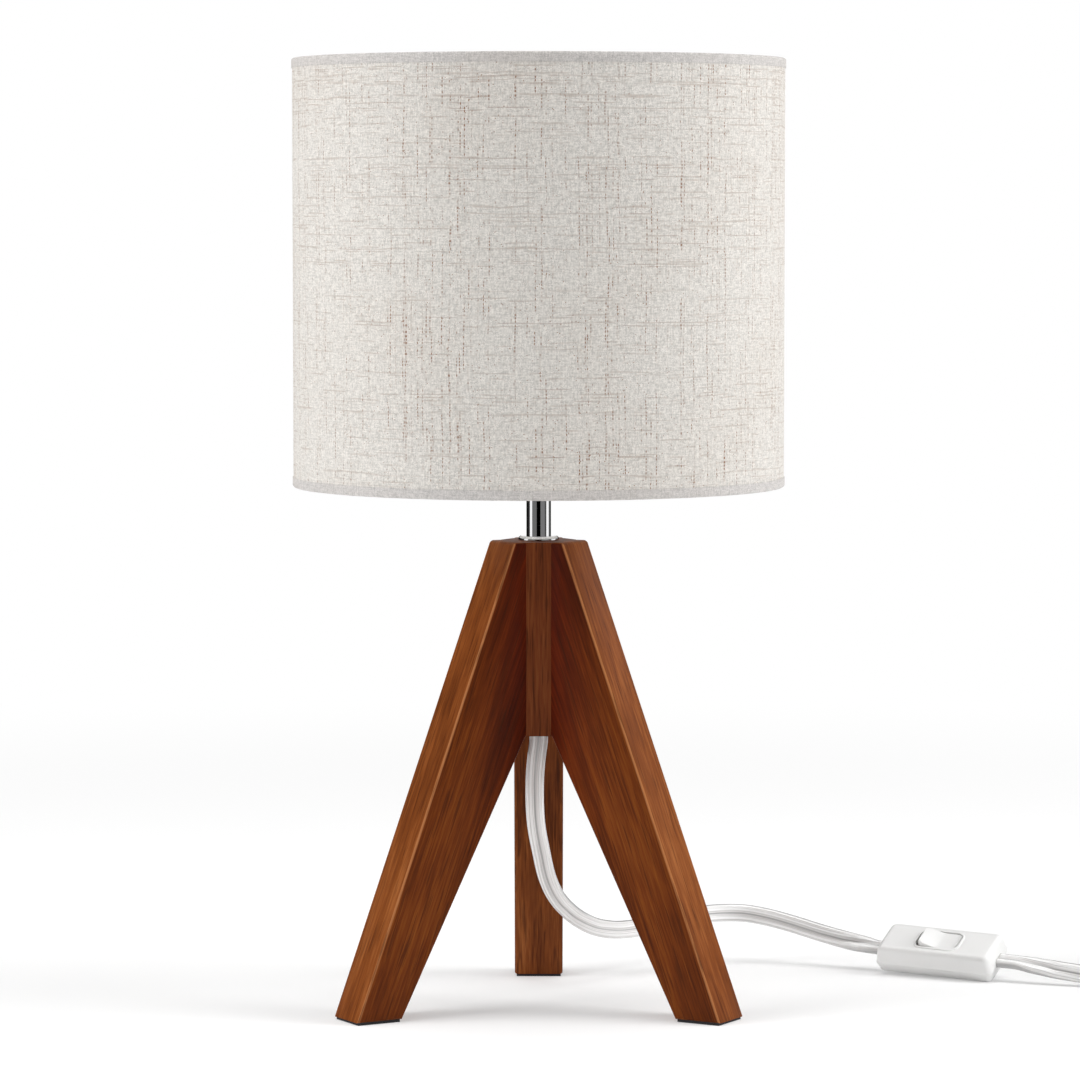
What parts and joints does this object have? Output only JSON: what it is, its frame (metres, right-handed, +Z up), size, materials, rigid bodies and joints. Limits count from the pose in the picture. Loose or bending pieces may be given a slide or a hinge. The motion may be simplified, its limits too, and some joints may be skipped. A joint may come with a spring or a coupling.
{
  "type": "tripod table lamp",
  "caption": "Table lamp on three splayed wooden board legs round a centre block, with a chrome stem, a drum linen shade and a clear corded inline rocker switch.",
  "frame": {"origin": "on the surface the lamp stands on, under the stem's axis", "axes": "+Z up along the stem, -Y towards the seen side between the two front legs, +X to the side where the cord leaves"},
  "size_m": [0.4539, 0.299, 0.3861],
  "materials": {
    "walnut": "satin lacquered walnut-brown stain over straight grain",
    "walnut_block": "satin, darker and greyer than the legs",
    "beech": "bare fluted dowel",
    "felt": "matt black non-slip pad",
    "chrome": "polished",
    "steel": "zinc plated",
    "white_plastic": "moulded thermoplastic",
    "ceramic": "glazed",
    "brass": "bare",
    "linen": "slubbed linen weave, light grey-beige with brown slubs",
    "lining": "translucent white styrene sheet",
    "hem_tape": "the same linen folded over the edge",
    "white_wire": "powder-coated white wire",
    "cap_metal": "nickel plated screw cap",
    "black_glass": "insulator",
    "opal": "opal diffuser",
    "board": "white solder mask",
    "switch_white": "soft gloss moulding",
    "clear_pvc": "clear sheath over two tinned stranded cores",
    "tie_black": "hook-and-loop tie",
    "clear_white": "milky moulded PVC",
    "pin_metal": "nickel-plated brass"
  },
  "bodies": {
    "lamp": {"leg_left": "walnut", "leg_right": "walnut", "leg_back": "walnut", "centre_block": "walnut_block", "leg_dowels": "beech", "foot_pad_left": "felt", "foot_pad_right": "felt", "foot_pad_back": "felt", "flange_nut": "chrome", "stem_pipe": "chrome", "pocket_washer": "steel", "pocket_nut": "steel", "pipe_bushing": "white_plastic", "stem_cord": "clear_pvc", "holder_cap": "white_plastic", "holder_skirt": "white_plastic", "holder_insert": "ceramic", "screw_shell": "brass", "centre_contact": "brass", "terminal_screws": "brass", "clamp_ring": "white_plastic", "shade_fabric": "linen", "shade_lining": "lining", "hem_top": "hem_tape", "hem_bottom": "hem_tape", "shade_seam": "linen", "top_wire_ring": "white_wire", "bottom_wire_ring": "white_wire", "frame_arms": "white_wire", "frame_plate": "white_wire", "switch_cover": "switch_white", "switch_base": "switch_white", "switch_contacts": "brass", "switch_screws": "steel", "switch_leads": "clear_pvc", "cord_upper": "clear_pvc", "cord_lower": "clear_pvc", "cord_coil": "clear_pvc", "cord_tail": "clear_pvc", "cord_tie": "tie_black", "plug_body": "clear_white", "plug_relief": "clear_white", "plug_pins": "pin_metal"},
    "bulb_carrier": {"bulb_cap": "cap_metal"},
    "bulb": {"bulb_tip": "black_glass", "bulb_housing": "white_plastic", "bulb_globe": "opal", "led_board": "board"},
    "rocker": {"switch_rocker": "switch_white"}
  },
  "joints": [
    {"name": "rocker_tip", "type": "hinge", "parent": "lamp", "child": "rocker", "pos_m": [0.17065, 0.06961, 0.01229], "axis": [-0.4321, -0.7882, -0.4382], "range_deg": [0, 18]},
    {"name": "bulb_lift", "type": "slide", "parent": "lamp", "child": "bulb_carrier", "axis": [0, 0, 1], "range_m": [0, 0.0219]},
    {"name": "bulb_turn", "type": "hinge", "parent": "bulb_carrier", "child": "bulb", "pos_m": [0, 0, 0.2529], "axis": [0, 0, 1], "range_deg": [0, 2160]}
  ],
  "couplings": [
    {"joint": "bulb_lift", "follows": "bulb_turn", "m_per_rad": 0.00057773}
  ]
}
